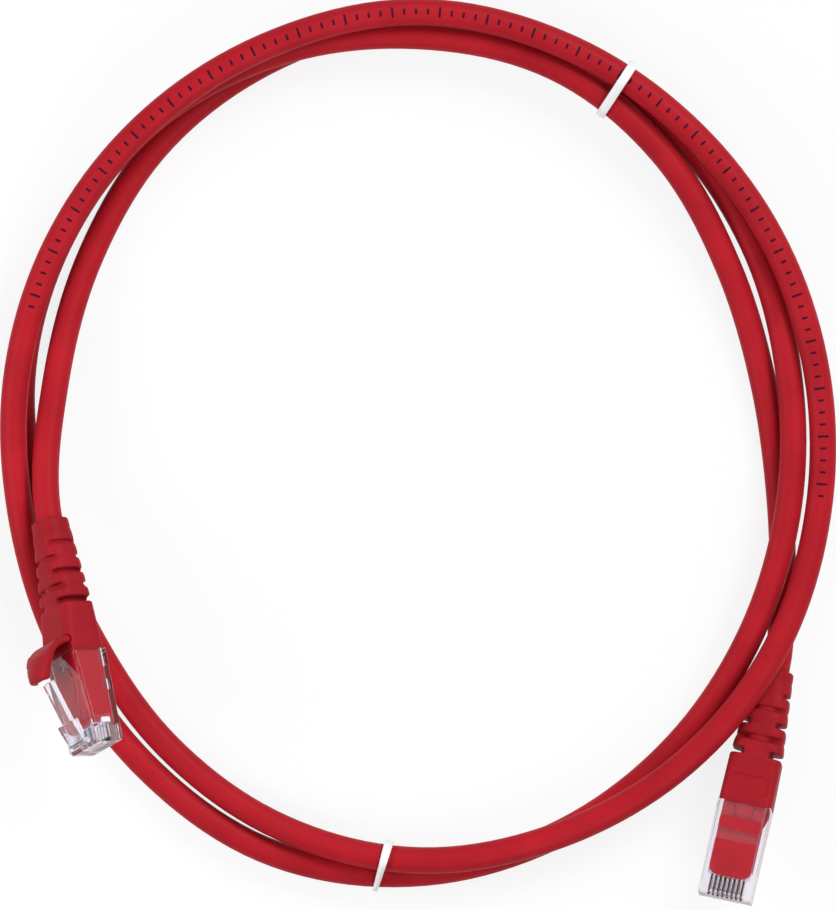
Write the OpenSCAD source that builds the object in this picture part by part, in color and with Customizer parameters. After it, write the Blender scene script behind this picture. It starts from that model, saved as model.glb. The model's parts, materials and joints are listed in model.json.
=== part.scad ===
// Ethernet patch cable. One length of round cable lies in a loose ring of about two and a half
// turns, with a modular plug in a ribbed boot at each end, and two wire ties hold the ring.
// Millimetres, +Z up, the floor is Z = 0. X runs to the right across the ring, Y up it, and the
// origin is on the floor, midway among the plugs and ties.
// A plug is drawn along its own x axis: the boot's cable end is x = 0, the nose lies ahead, +z is
// the latch side and -z the contact side.

/* [Cable] */
// Outer diameter of the jacket
cable_d = 5.8; // [5.2:0.1:6]
// Wall of the jacket
jacket_wall = 0.6; // [0.4:0.05:0.7]
// Diameter round one twisted pair
pair_d = 1.5; // [1.2:0.05:1.5]
// Thickness of the separator's arms at their tips
separator_tip = 0.1; // [0.05:0.01:0.15]
// Thickness across the separator's middle
separator_core = 0.3; // [0.2:0.02:0.34]
// Diameter of one insulated conductor
conductor_d = 0.86; // [0.7:0.02:0.88]
// Length of jacket inside the plug, past the boot
jacket_in_plug = 3; // [2:0.25:4]

/* [Ring] */
// Radius of the ring, from which the cable strays in and out
ring_r = 88; // [84:1:92]
// Centre of the ring, right of the origin
ring_x = 1.2; // [0.2:0.1:2.2]
// Centre of the ring, up from the origin
ring_y = 7.8; // [6.8:0.1:8.8]
// Angle by which plug A leans out from the ring
plug_a_splay = 0; // [-1:0.5:2]
// Angle by which plug A points up
plug_a_pitch = 14; // [12:0.5:15]
// Roll of plug A about its own axis, with 0 for latch side up
plug_a_roll = 55; // [52:1:57]
// Angle by which plug B leans out from the ring
plug_b_splay = 19; // [17:0.5:21]
// Angle by which plug B points up
plug_b_pitch = 10.5; // [10:0.5:12]
// Roll of plug B about its own axis
plug_b_roll = 187; // [184:1:190]

/* [Plug] */
// Width of the plug
plug_w = 11.68; // [11.4:0.02:12]
// Length of the clear housing, ahead of the boot
plug_len = 20.8; // [20.4:0.1:21.4]
// Height of the housing at its nose
nose_h = 6.6; // [6.4:0.1:6.9]
// Side wall of the housing
side_wall = 1.2; // [1:0.05:1.4]
// Wall of the housing on its contact face and latch face
face_wall = 0.9; // [0.7:0.05:1.2]
// Wall of the inner mould over the cable
mould_cover = 0.1; // [0.05:0.05:0.3]
// Length of the solid nose, ahead of the inner mould
nose_len = 4.4; // [4.2:0.1:4.8]
// Distance from the boot to the cable crimp across the inner mould
cable_crimp_at = 0.3; // [0.2:0.1:0.7]
// Length of the cable crimp
cable_crimp_len = 2.9; // [2.4:0.1:3.1]
// Distance from the boot to the conductor crimp
wire_crimp_at = 6.2; // [5.8:0.1:7]
// Length of the conductor crimp
wire_crimp_len = 2.2; // [1.6:0.1:2.6]
// Depth of both crimps
crimp_depth = 0.9; // [0.5:0.1:1]
// Spacing of the contacts
contact_pitch = 1.016; // [1:0.004:1.04]
// Thickness of a contact blade
blade_t = 0.35; // [0.25:0.01:0.4]
// Width of the slot that holds a blade
slot_w = 0.45; // [0.42:0.01:0.6]
// Wall between the blade slots and the inner mould
slot_wall = 0.3; // [0.2:0.05:0.5]
// Depth of the blades below the contact face
blade_recess = 0.5; // [0.3:0.05:0.8]
// Height of the conductor row above the contact face
row_h = 2.7; // [2.5:0.05:2.8]

/* [Latch] */
// Width of the latch at the nose
latch_root_w = 6; // [5.6:0.1:6.4]
// Width of the latch lever
latch_w = 3.2; // [2.8:0.1:4]
// Length of the latch
latch_len = 14.9; // [13.8:0.1:15]
// Length of its wide part
latch_root_len = 5.2; // [4.6:0.1:5.6]
// Thickness of the lever
latch_t = 1.2; // [0.9:0.1:1.4]
// Slope of the lever at rest
latch_rise = 19; // [17:0.5:21]

/* [Boot] */
// Length of the ribbed part, collar included
ribs_len = 19.6; // [19.2:0.2:20.4]
// Length of the boot's body
body_len = 10.8; // [10:0.2:11.4]
// Width and height of the collar
collar_d = 7.9; // [7.6:0.1:8.2]
// Width of the boot where ribs and body meet
waist_w = 11.5; // [11.1:0.1:11.7]
// Height of the boot where ribs and body meet
waist_h = 8.2; // [8:0.1:8.6]
// Corner radius where ribs and body meet
waist_corner = 2.2; // [1.8:0.1:2.6]
// Corner radius at the front of the body
front_corner = 1.2; // [0.8:0.1:1.6]
// Height by which the body stands above the housing's latch face
crown = 1.1; // [0.8:0.1:1.2]
// Spacing of the rows of slots
rib_pitch = 3.25; // [3.1:0.05:3.3]
// Width of the row of slots nearest the body
rib_gap = 1.4; // [1:0.1:1.7]
// Narrowing of the slots from row to row
rib_gap_step = 0.15; // [0:0.05:0.2]
// Rows of slots
rib_rows = 5; // [3:1:5]
// Wall of the sleeve under the slots
sleeve_wall = 0.6; // [0.5:0.05:0.8]
// Distance of the sunken panel on the contact side from the boot's front
panel_at = 2.2; // [1.8:0.1:3]
// Length of the panel
panel_len = 4; // [3.5:0.1:5]
// Width of the panel
panel_w = 8.4; // [6:0.1:8.6]
// Depth of the panel
panel_depth = 0.2; // [0.1:0.05:0.3]

/* [Hood] */
// Width of the hood at its root
hood_w = 10.4; // [9.6:0.1:10.6]
// Width of the hood at its tip
hood_tip_w = 6.4; // [5:0.1:7.4]
// Distance of the hood's hinge behind the boot's front
hood_setback = 2.7; // [2.5:0.1:3]
// Reach of the hood ahead of the boot
hood_reach = 5.6; // [5.2:0.1:6]
// Height of the hood's crest above its hinge
hood_rise = 6.3; // [6.2:0.1:6.8]
// Thickness of the hood
hood_t = 1.5; // [1.2:0.1:1.7]

/* [Ties] */
// Width of a tie
tie_w = 2; // [1.6:0.1:3]
// Thickness of a tie
tie_t = 0.66; // [0.6:0.02:0.74]
// Thickness of the tie's steel core
tie_core_t = 0.34; // [0.2:0.02:0.4]
// Length of the twisted tail
tail_len = 12; // [8:1:16]
// Turns in the twisted tail
tail_turns = 2; // [1:0.5:4]
// Slant of the upper tie across the strands
upper_slant = 4; // [2:1:6]
// Slant of the lower tie across the strands
lower_slant = 11; // [8:1:12]

/* [Fits] */
// Clearance between a bore and what runs in it
bore_gap = 0.1; // [0.05:0.01:0.2]
// Clearance round the inner mould, wire guide and contacts
seat_gap = 0.05; // [0.03:0.01:0.08]
// Clearance round a hinge barrel
hinge_gap = 0.12; // [0.08:0.02:0.2]
// Clearance between a tie and the cable
tie_gap = 0.5; // [0.46:0.02:0.6]

/* [Hidden] */

jacket_red = "#be2a33";
boot_red = "#a8232d";
clear_pc = [0.86, 0.88, 0.9, 0.4];

// The cable's route, from plug A to plug B. Each point is an angle round the ring, clockwise from
// its left side, then how far outside ring_r and how high the cable's centre lies.
cable_route = [
    [-11.5, -7, 15], [10, -8.5, 8.8], [30, -6, 4.4], [50, -1.5, 3.3], [70, 2, 3.3], [90, 5, 3.6],
    [110, 4, 4.1], [130, 0.5, 4.2], [150, -3, 4.6], [170, -6, 7.6], [190, -6.5, 9.6],
    [210, -5, 8.5], [230, -2, 5], [250, 1.5, 3.3], [270, 4.5, 4.1], [290, 5.5, 3.9],
    [310, 3, 3.3], [330, 0.5, 4.3], [350, -1, 9.2], [370, 0, 9.8], [390, 1.5, 10.8],
    [410, 3, 14.6], [430, 4.5, 16.4], [450, 6, 13.8], [470, 4.5, 12.5], [490, 2.5, 11],
    [510, 1, 10.4], [530, 0, 10.2], [550, 0, 10.4], [570, 1, 13], [590, 1.5, 11.6],
    [610, 1.5, 9.8], [630, 1.5, 9.8], [650, -0.5, 6.7], [670, -3.5, 3.5], [690, -6, 3.3],
    [710, -4.7, 3.3], [730, -1, 3.3], [750, 1.5, 3.8], [770, 3, 8.2], [790, 2.5, 9.9],
    [810, 1, 9], [830, -0.5, 8.5], [850, -5, 7.7], [870, -10, 5.2], [890, -11.5, 3.3],
    [908, -8.5, 3.2], [922, -2.5, 3.5], [932, 3.8, 5.6]];
turn = 360;
rings_per_turn = 30;
ring_step = turn / rings_per_turn;
jacket_sides = 8;
pair_sides = 6;
conductor_sides = 8;
least_gap = 0.4;

cable_r = cable_d / 2;
jacket_bore_r = cable_r - jacket_wall;
bore_inner_flat = jacket_bore_r * cos(180 / jacket_sides);
pair_offset = bore_inner_flat - pair_d / 2 - 0.05;
separator_reach = bore_inner_flat - 0.1;

// Height of the housing where it meets the boot
rear_h = cable_d + 2 * (bore_gap + mould_cover + seat_gap + face_wall);
boot_len = ribs_len + body_len;
nose_x = boot_len + plug_len;
contact_z = -rear_h / 2;
latch_z = rear_h / 2;
nose_z = contact_z + nose_h;
row_z = contact_z + row_h;
mould_end = nose_x - nose_len;
slot_start = mould_end + slot_wall;
jacket_end = boot_len + jacket_in_plug;
pair_end = jacket_end + 1.6;
separator_end = jacket_end + 0.8;
guide_len = 3.4;
guide_start = slot_start - guide_len - 0.5;
stem_start = ribs_len + 2.6;
guide_h = 2.2;
stem_h = cable_d + 2 * (bore_gap + mould_cover);
conductors = 8;
row_w = (conductors - 1) * contact_pitch;
cavity_w = plug_w - 2 * side_wall;
stem_step = 0.3;
stem_w = cavity_w - 2 * stem_step;
guide_w = (row_w + conductor_d + cavity_w) / 2;
pair_layer = pair_offset * sin(45);
conductor_end = nose_x - 1.4;

latch_pivot = [nose_x - 1.3, nose_z + 0.35];
latch_barrel_r = 0.6;
hood_barrel_r = 0.8;
hood_pivot = [boot_len - hood_setback, latch_z + 0.5];
hood_root_angle = 170;
hood_tip_angle = 92;

rib_core_r = cable_r + bore_gap + sleeve_wall;

// Slope of the route's value "column" at each of its points, eased between the neighbours.
function chord(i, column) =
    (cable_route[i + 1][column] - cable_route[i][column])
    / (cable_route[i + 1][0] - cable_route[i][0]);
function eased_slope(i, column) =
    let (back = cable_route[i][0] - cable_route[i - 1][0],
         ahead = cable_route[i + 1][0] - cable_route[i][0])
    (chord(i - 1, column) * ahead + chord(i, column) * back) / (back + ahead);
function end_slope(i, splay, pitch, column) =
    (ring_r + cable_route[i][1]) * PI / 180 * (column == 1 ? tan(splay) : tan(pitch) / cos(splay));
last = len(cable_route) - 1;
function slope(i, column) =
    i == 0 ? -end_slope(0, plug_a_splay, plug_a_pitch, column)
    : i == last ? end_slope(last, plug_b_splay, plug_b_pitch, column)
    : eased_slope(i, column);
slopes = [for (i = [0:last]) [0, slope(i, 1), slope(i, 2)]];

function segment(angle, i = 0) =
    i >= last - 1 || angle < cable_route[i + 1][0] ? i : segment(angle, i + 1);
function blend(i, span, t, column) =
    (2 * t ^ 3 - 3 * t ^ 2 + 1) * cable_route[i][column]
    + (t ^ 3 - 2 * t ^ 2 + t) * span * slopes[i][column]
    + (3 * t ^ 2 - 2 * t ^ 3) * cable_route[i + 1][column]
    + (t ^ 3 - t ^ 2) * span * slopes[i + 1][column];
function route_at(angle) =
    let (i = segment(angle), span = cable_route[i + 1][0] - cable_route[i][0],
         t = (angle - cable_route[i][0]) / span)
    [ring_r + blend(i, span, t, 1), blend(i, span, t, 2)];
function place(angle) =
    let (polar = route_at(angle))
    [ring_x - polar[0] * cos(angle), ring_y + polar[0] * sin(angle), polar[1]];

first_angle = cable_route[0][0];
last_angle = cable_route[last][0];

// Position and heading of each plug: [place, yaw, pitch, roll].
plug_a = [place(first_angle), 90 - first_angle + 180 - plug_a_splay, plug_a_pitch, plug_a_roll];
plug_b = [place(last_angle), 90 - last_angle + plug_b_splay, plug_b_pitch, plug_b_roll];

function heading(plug) =
    [cos(plug[1]) * cos(plug[2]), sin(plug[1]) * cos(plug[2]), sin(plug[2])];

// Centres and directions of the rings along the cable. The stretches in the boots are straight.
first_ring = -1;
sample_angles = [for (a = [first_ring:ring_step:last_angle - ring_step / 2]) a];
function toward(from, to) = (to - from) / norm(to - from);
function cable_stations(reach) = concat(
    [[plug_a[0] + heading(plug_a) * reach, -heading(plug_a)], [plug_a[0], -heading(plug_a)]],
    [for (a = sample_angles) [place(a), toward(place(a - 1), place(a + 1))]],
    [[plug_b[0], heading(plug_b)], [plug_b[0] + heading(plug_b) * reach, heading(plug_b)]]);

// An outline stands across the line, seen from behind: its x to the right, its y up.
function right_of(direction) = toward([0, 0, 0], cross(direction, [0, 0, 1]));
function section_at(station, outline) =
    let (side = right_of(station[1]), up = cross(side, station[1]))
    [for (p = outline) station[0] + side * p[0] + up * p[1]];
function wheel(radius, sides, centre = [0, 0]) =
    [for (k = [0:sides - 1])
        centre + radius * [cos(360 * (k + 0.5) / sides), sin(360 * (k + 0.5) / sides)]];

function flat_list(lists) = [for (l = lists) for (p = l) p];
function skin(rings, n, start, out) =
    [for (i = [0:rings - 2]) for (k = [0:n - 1])
        let (a = start[0] + i * start[1] + k, b = start[0] + i * start[1] + (k + 1) % n,
             c = a + start[1], d = b + start[1])
        each out ? [[a, b, d], [a, d, c]] : [[a, d, b], [a, c, d]]];

// A solid line with the given outline, closed by a fan of triangles at each end.
module solid_line(stations, outline) {
    n = len(outline);
    m = len(stations);
    points = concat(flat_list([for (s = stations) section_at(s, outline)]),
        [stations[0][0], stations[m - 1][0]]);
    ends = [for (k = [0:n - 1]) each [[(k + 1) % n, k, m * n],
        [(m - 1) * n + k, (m - 1) * n + (k + 1) % n, m * n + 1]]];
    polyhedron(points, concat(skin(m, n, [0, n], true), ends));
}

module off_centre_line(stations, outline) {
    n = len(outline);
    m = len(stations);
    points = flat_list([for (s = stations) section_at(s, outline)]);
    ends = [for (k = [1:n - 2]) each [[0, k + 1, k],
        [(m - 1) * n, (m - 1) * n + k, (m - 1) * n + k + 1]]];
    polyhedron(points, concat(skin(m, n, [0, n], true), ends));
}

// A tube with a bore, closed by a ring of triangles at each end.
module hollow_line(stations, outer, inner) {
    n = len(outer);
    m = len(stations);
    points = flat_list([for (s = stations) section_at(s, concat(outer, inner))]);
    end = (m - 1) * 2 * n;
    caps = [for (k = [0:n - 1]) let (j = (k + 1) % n) each [
        [k, n + k, j], [j, n + k, n + j],
        [end + k, end + j, end + n + k], [end + j, end + n + j, end + n + k]]];
    polyhedron(points, concat(skin(m, n, [0, 2 * n], true), skin(m, n, [n, 2 * n], false), caps));
}

// Least distance between two stretches of the cable that lie more than a third of a turn apart.
gap_step = 4;
gap_places = [for (a = [first_angle:gap_step:last_angle]) place(a)];
apart = ceil(turn / 3 / gap_step);
gaps = [for (i = [0:len(gap_places) - 1])
    let (far = [for (j = [i + apart:1:len(gap_places) - 1]) norm(gap_places[i] - gap_places[j])])
    if (len(far) > 0) min(far) - cable_d];
echo(str("least gap between turns: ", min(gaps), " mm, wanted over ", least_gap));

module cable_jacket() {
    color(jacket_red)
        hollow_line(cable_stations(jacket_end), wheel(cable_r, jacket_sides),
            wheel(jacket_bore_r, jacket_sides));
}

module pair_separator() {
    tip = separator_tip / 2;
    core = separator_core / 2;
    outline = [for (k = [0:3]) each [
        separator_reach * [cos(90 * k), sin(90 * k)] - tip * [-sin(90 * k), cos(90 * k)],
        separator_reach * [cos(90 * k), sin(90 * k)] + tip * [-sin(90 * k), cos(90 * k)],
        core * [cos(90 * k) - sin(90 * k), sin(90 * k) + cos(90 * k)]]];
    color("whitesmoke") solid_line(cable_stations(separator_end), outline);
}

module twisted_pair(quarter, tint) {
    centre = pair_offset * [cos(45 + 90 * quarter), sin(45 + 90 * quarter)];
    color(tint) off_centre_line(cable_stations(pair_end), wheel(pair_d / 2, pair_sides, centre));
}

module at_plug(plug) {
    translate(plug[0]) rotate([0, 0, plug[1]]) rotate([0, -plug[2], 0]) rotate([plug[3], 0, 0])
        children();
}

// A flat outline in the plug's x and z, given a width along y.
module side_plate(width) {
    translate([0, width / 2, 0]) rotate([90, 0, 0]) linear_extrude(width) children();
}

module barrel(pivot, radius, width) {
    translate([pivot[0], width / 2, pivot[1]]) rotate([90, 0, 0])
        cylinder(r = radius, h = width, $fn = 48);
}

// Outline of the clear housing seen from the side. The latch face slopes from rear to nose.
function housing_profile() = [
    [boot_len, contact_z], [nose_x - 0.5, contact_z], [nose_x, contact_z + 0.5],
    [nose_x, nose_z - 0.7], [nose_x - 0.7, nose_z], [nose_x - nose_len, nose_z + 0.1],
    [boot_len, latch_z]];
function mould_profile(gap) = [
    [boot_len - 1, contact_z + face_wall + gap], [mould_end - gap, contact_z + face_wall + gap],
    [mould_end - gap, nose_z - face_wall - gap], [boot_len, latch_z - face_wall - gap],
    [boot_len - 1, latch_z - face_wall - gap]];

// A channel that one conductor lies in, from x on.
module wire_channel(x, length) {
    translate([x, 0, row_z]) rotate([0, 90, 0]) rotate(180 / conductor_sides)
        cylinder(r = conductor_d / 2 + seat_gap / cos(180 / conductor_sides), h = length,
            $fn = conductor_sides);
}

module housing() {
    color(clear_pc) difference() {
        side_plate(plug_w) polygon(housing_profile());
        side_plate(cavity_w) polygon(mould_profile(0));
        translate([boot_len - 1, 0, 0]) rotate([0, 90, 0])
            cylinder(r = cable_r + bore_gap, h = jacket_in_plug + 1 + bore_gap, $fn = 48);
        for (k = [0:conductors - 1]) translate([0, k * contact_pitch - row_w / 2, 0]) {
            translate([slot_start, -slot_w / 2, contact_z - 1])
                cube([nose_len, slot_w, row_h + 1 - conductor_d / 2]);
            wire_channel(mould_end - 1, conductor_end - mould_end + 1.2);
        }
        barrel(latch_pivot, latch_barrel_r + hinge_gap, latch_root_w + 0.8);
    }
}

module latch() {
    dir = [-cos(latch_rise), sin(latch_rise)];
    up = [sin(latch_rise), cos(latch_rise)];
    low = latch_pivot - up * 0.1;
    top = low + up * latch_t;
    wide_end = latch_root_len;
    color(clear_pc) {
        barrel(latch_pivot, latch_barrel_r, latch_root_w);
        side_plate(latch_root_w) polygon([low, low + dir * wide_end,
            top + dir * wide_end + up * 0.5, top + dir * (wide_end - 1.4) + up * 0.5, top]);
        side_plate(latch_w) polygon([low + dir * (wide_end - 1), low + dir * latch_len,
            top + dir * (latch_len - 0.3), top + dir * (wide_end - 1)]);
    }
}

module contacts() {
    shoulder = conductor_d / 2 + seat_gap;
    foot = contact_z + blade_recess;
    color("gold") for (k = [0:conductors - 1])
        translate([0, k * contact_pitch - row_w / 2, 0]) side_plate(blade_t) polygon([
            [slot_start + seat_gap, row_z - shoulder], [slot_start + seat_gap, foot + 0.6],
            [slot_start + 0.6, foot], [nose_x - 0.9, foot], [nose_x - 0.4, foot + 0.6],
            [nose_x - 0.4, row_z - shoulder]]);
}

module wire_guide() {
    color("white") difference() {
        translate([guide_start, -guide_w / 2, row_z - guide_h / 2])
            cube([guide_len, guide_w, guide_h]);
        for (k = [0:conductors - 1])
            translate([0, k * contact_pitch - row_w / 2, 0])
                wire_channel(guide_start - 1, guide_len + 2);
    }
}

// The conductors leave the four pairs in two layers and run forward into one row.
module conductor_ends() {
    inner_y = conductor_d / 2 + 0.03;
    starts = [for (y = [-3:2:3]) each [y * inner_y, y * inner_y]];
    tints = ["orange", "wheat", "green", "royalblue", "lightblue", "lightgreen", "tan", "brown"];
    ahead = [1, 0, 0];
    for (k = [0:conductors - 1]) {
        y = k * contact_pitch - row_w / 2;
        from = [pair_end + 0.6, starts[k], (k % 2 == 0 ? -1 : 1) * pair_layer];
        to = [guide_start - 0.3, y, row_z];
        bend = toward([0, 0, 0], ahead + toward(from, to));
        color(tints[k]) solid_line([[[pair_end, from[1], from[2]], ahead], [from, bend], [to, bend],
            [[conductor_end, y, row_z], ahead]], wheel(conductor_d / 2, conductor_sides));
    }
}

// The mould fills the housing behind the nose. Its stem reaches back into the boot and grips the
// jacket, and its front holds the wire guide and the room where the conductors fan out.
module inner_mould() {
    mould_w = cavity_w - 2 * seat_gap;
    corner = 2.2;
    corner_x = mould_end - corner - seat_gap;
    fan_w = row_w + conductor_d + 0.5;
    fan_top = pair_layer + conductor_d / 2 + 0.2;
    fan_low = row_z - conductor_d / 2 - 0.2;
    color(boot_red) difference() {
        union() {
            intersection() {
                side_plate(mould_w) polygon(mould_profile(seat_gap));
                union() {
                    translate([boot_len, -mould_w / 2, -rear_h])
                        cube([corner_x - boot_len, mould_w, 2 * rear_h]);
                    for (side = [-1, 1])
                        translate([corner_x, side * (mould_w / 2 - corner), -rear_h])
                            cylinder(r = corner, h = 2 * rear_h, $fn = 48);
                    translate([boot_len, corner - mould_w / 2, -rear_h])
                        cube([mould_end - boot_len, mould_w - 2 * corner, 2 * rear_h]);
                }
            }
            translate([stem_start, -stem_w / 2, -stem_h / 2])
                cube([boot_len + seat_gap - stem_start, stem_w, stem_h]);
        }
        translate([stem_start - 1, 0, 0]) rotate([0, 90, 0])
            cylinder(r = cable_r + bore_gap, h = jacket_end + bore_gap - stem_start + 1, $fn = 48);
        translate([jacket_end, 0, 0]) rotate([0, 90, 0])
            cylinder(r = jacket_bore_r, h = pair_end - jacket_end + 1, $fn = 48);
        translate([pair_end, -fan_w / 2, fan_low])
            cube([guide_start - pair_end, fan_w, fan_top - fan_low]);
        translate([guide_start - 0.4, -guide_w / 2 - seat_gap, row_z - guide_h / 2 - seat_gap])
            cube([nose_len + guide_len, guide_w + 2 * seat_gap, guide_h + 2 * seat_gap]);
        for (crimp = [[cable_crimp_at, cable_crimp_len], [wire_crimp_at, wire_crimp_len]])
            translate([boot_len + crimp[0], -plug_w / 2, contact_z + face_wall + seat_gap - 1])
                cube([crimp[1], plug_w, 1 + crimp_depth]);
    }
}

// A thin slab across the cable, from "low" to "high", with rounded corners.
module rounded_slab(x, width, low, high, corner) {
    for (y = [-1, 1], z = [low + corner, high - corner])
        translate([x, y * (width / 2 - corner), z]) rotate([0, 90, 0])
            cylinder(r = corner, h = 0.02, $fn = 16);
}

// Each row of slots cuts either the two sides or the two faces, down to the sleeve.
module rib_slots() {
    web_w = 2 * cable_r - 0.2;
    web_h = 2 * cable_r - 1;
    face_slot_w = waist_w - 1.2;
    for (row = [0:rib_rows - 1]) {
        gap = rib_gap - row * rib_gap_step;
        x = ribs_len - rib_gap - row * rib_pitch;
        if (row % 2 == 0)
            for (side = [-1, 1])
                translate([x, side * (web_w + waist_w) / 2 - waist_w / 2, -waist_h])
                    cube([gap, waist_w, 2 * waist_h]);
        else
            for (side = [-1, 1])
                translate([x, -face_slot_w / 2, side * (web_h + waist_h) / 2 - waist_h / 2])
                    cube([gap, face_slot_w, waist_h]);
    }
}

module boot() {
    color(boot_red) difference() {
        union() {
            difference() {
                hull() {
                    rounded_slab(0, collar_d, -collar_d / 2, collar_d / 2, 0.46 * collar_d);
                    rounded_slab(ribs_len, waist_w, -waist_h / 2, waist_h / 2, waist_corner);
                }
                difference() {
                    rib_slots();
                    translate([-1, 0, 0]) rotate([0, 90, 0])
                        cylinder(r = rib_core_r, h = ribs_len + 1, $fn = 48);
                }
            }
            hull() {
                rounded_slab(ribs_len, waist_w, -waist_h / 2, waist_h / 2, waist_corner);
                rounded_slab(boot_len - 0.02, plug_w, contact_z, latch_z + crown, front_corner);
            }
        }
        translate([-1, 0, 0]) rotate([0, 90, 0])
            cylinder(r = cable_r + bore_gap, h = boot_len, $fn = 48);
        translate([stem_start - bore_gap, -stem_w / 2 - seat_gap, -stem_h / 2 - seat_gap])
            cube([body_len, stem_w + 2 * seat_gap, stem_h + 2 * seat_gap]);
        barrel(hood_pivot, hood_barrel_r + hinge_gap, plug_w + 1);
        translate([hood_pivot[0], -plug_w, latch_z]) cube(2 * plug_w);
        translate([boot_len - panel_at - panel_len, -panel_w / 2, contact_z - 1])
            cube([panel_len, panel_w, 1 + panel_depth]);
    }
}

// The hood is one bent strip: up from the barrel, over the crest and down to the tip.
function arc(centre, radius_x, radius_z, from, to, steps) =
    [for (k = [0:steps]) let (a = from + (to - from) * k / steps)
        centre + [radius_x * cos(a), radius_z * sin(a)]];
hood_front = boot_len + hood_reach - hood_pivot[0];
hood_outer = concat([[-hood_barrel_r, 0]],
    arc([hood_front - 0.4, 0], hood_front + 0.4, hood_rise, hood_root_angle, hood_tip_angle, 10),
    [[hood_front, hood_rise - 0.2]]);
hood_inner = concat([[hood_front, hood_rise - 0.2 - hood_t]],
    arc([hood_front - 0.4, 0], hood_front + 0.4 - hood_t, hood_rise - hood_t, hood_tip_angle,
        hood_root_angle, 10),
    [[hood_barrel_r * 0.7, -hood_barrel_r * 0.7]]);

module hood() {
    color(boot_red) {
        barrel(hood_pivot, hood_barrel_r, hood_w);
        intersection() {
            translate([hood_pivot[0], 0, hood_pivot[1]]) side_plate(hood_w)
                polygon(concat(hood_outer, hood_inner));
            translate([hood_pivot[0] - 2, 0, 0]) linear_extrude(hood_pivot[1] + hood_rise + 2)
                polygon([[0, -hood_w / 2], [hood_front / 2, -hood_w / 2],
                    [hood_front + 3, -hood_tip_w / 2], [hood_front + 3, hood_tip_w / 2],
                    [hood_front / 2, hood_w / 2], [0, hood_w / 2]]);
        }
    }
}

// Ties. Seen along the cable, the strands at a tie are circles: radius across, height up. On a
// slanted tie the outer strands are met further on.
upper_tie_angle = 119.3;
lower_tie_angle = 275;
function strands(angle, turns, slant) =
    let (near = route_at(angle)[0])
    [for (t = turns)
        let (radius = route_at(angle + t * turn)[0], shift = (radius - near) * tan(slant))
        route_at(angle + t * turn + shift / radius * 180 / PI)];

module around(strand_places, radius) {
    hull() for (p = strand_places) translate(p) circle(r = radius, $fn = 32);
}

// A ring round the strands, "gap" off the cable, with the given thickness.
module band(bundle, gap, thickness) {
    difference() {
        around(bundle, cable_r + gap + thickness);
        around(bundle, cable_r + gap);
    }
}

module at_tie(angle, slant) {
    near = route_at(angle)[0];
    translate([ring_x, ring_y, 0]) rotate([90, 0, 180 - angle])
        translate([near, 0, 0]) rotate([0, -slant, 0]) translate([-near, 0, 0]) children();
}

// The twisted tail lies under the bundle, beside the low strand. "inner" names the strand above it.
module tie(angle, turns, inner, slant, tail_side) {
    bundle = strands(angle, turns, slant);
    low = bundle[0];
    above = bundle[inner];
    lean = [low[1] - above[1], above[0] - low[0]] / norm(low - above);
    tail_at = (low + above) / 2 + lean * (cable_r + tie_gap + tie_t + 0.45 * tie_w);
    tail_turn = 360 * tail_turns;
    color("white") at_tie(angle, slant) difference() {
        union() {
            linear_extrude(tie_w, center = true) band(bundle, tie_gap, tie_t);
            translate([tail_at[0], tail_at[1], 0]) rotate([0, slant + (tail_side < 0 ? 180 : 0), 0])
                translate([0, 0, -tie_w / 2])
                    linear_extrude(tail_len, twist = tail_turn, slices = 12 * tail_turns)
                        square([tie_w, 2 * tie_t], center = true);
        }
        linear_extrude(tie_core_t, center = true)
            band(bundle, tie_gap + (tie_t - tie_core_t) / 2, tie_core_t);
    }
}

module tie_core(angle, turns, slant) {
    color("silver") at_tie(angle, slant) linear_extrude(tie_core_t, center = true)
        band(strands(angle, turns, slant), tie_gap + (tie_t - tie_core_t) / 2, tie_core_t);
}

cable_jacket();
pair_separator();
twisted_pair(0, "royalblue");  // pair_blue
twisted_pair(1, "orange");  // pair_orange
twisted_pair(2, "green");  // pair_green
twisted_pair(3, "saddlebrown");  // pair_brown
at_plug(plug_a) housing();  // plug_a_housing
at_plug(plug_a) latch();  // plug_a_latch
at_plug(plug_a) contacts();  // plug_a_contacts
at_plug(plug_a) wire_guide();  // plug_a_wire_guide
at_plug(plug_a) conductor_ends();  // plug_a_conductors
at_plug(plug_a) inner_mould();  // plug_a_inner_mould
at_plug(plug_a) boot();  // plug_a_boot
at_plug(plug_a) hood();  // plug_a_hood
at_plug(plug_b) housing();  // plug_b_housing
at_plug(plug_b) latch();  // plug_b_latch
at_plug(plug_b) contacts();  // plug_b_contacts
at_plug(plug_b) wire_guide();  // plug_b_wire_guide
at_plug(plug_b) conductor_ends();  // plug_b_conductors
at_plug(plug_b) inner_mould();  // plug_b_inner_mould
at_plug(plug_b) boot();  // plug_b_boot
at_plug(plug_b) hood();  // plug_b_hood
tie(upper_tie_angle, [0, 1, 2], 2, upper_slant, -1);  // tie_upper
tie_core(upper_tie_angle, [0, 1, 2], upper_slant);  // tie_upper_core
tie(lower_tie_angle, [0, 1], 1, lower_slant, 1);  // tie_lower
tie_core(lower_tie_angle, [0, 1], lower_slant);  // tie_lower_core
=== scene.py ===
import json
import math

import bmesh
import bpy
import numpy as np
from mathutils import Matrix, Vector


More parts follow.
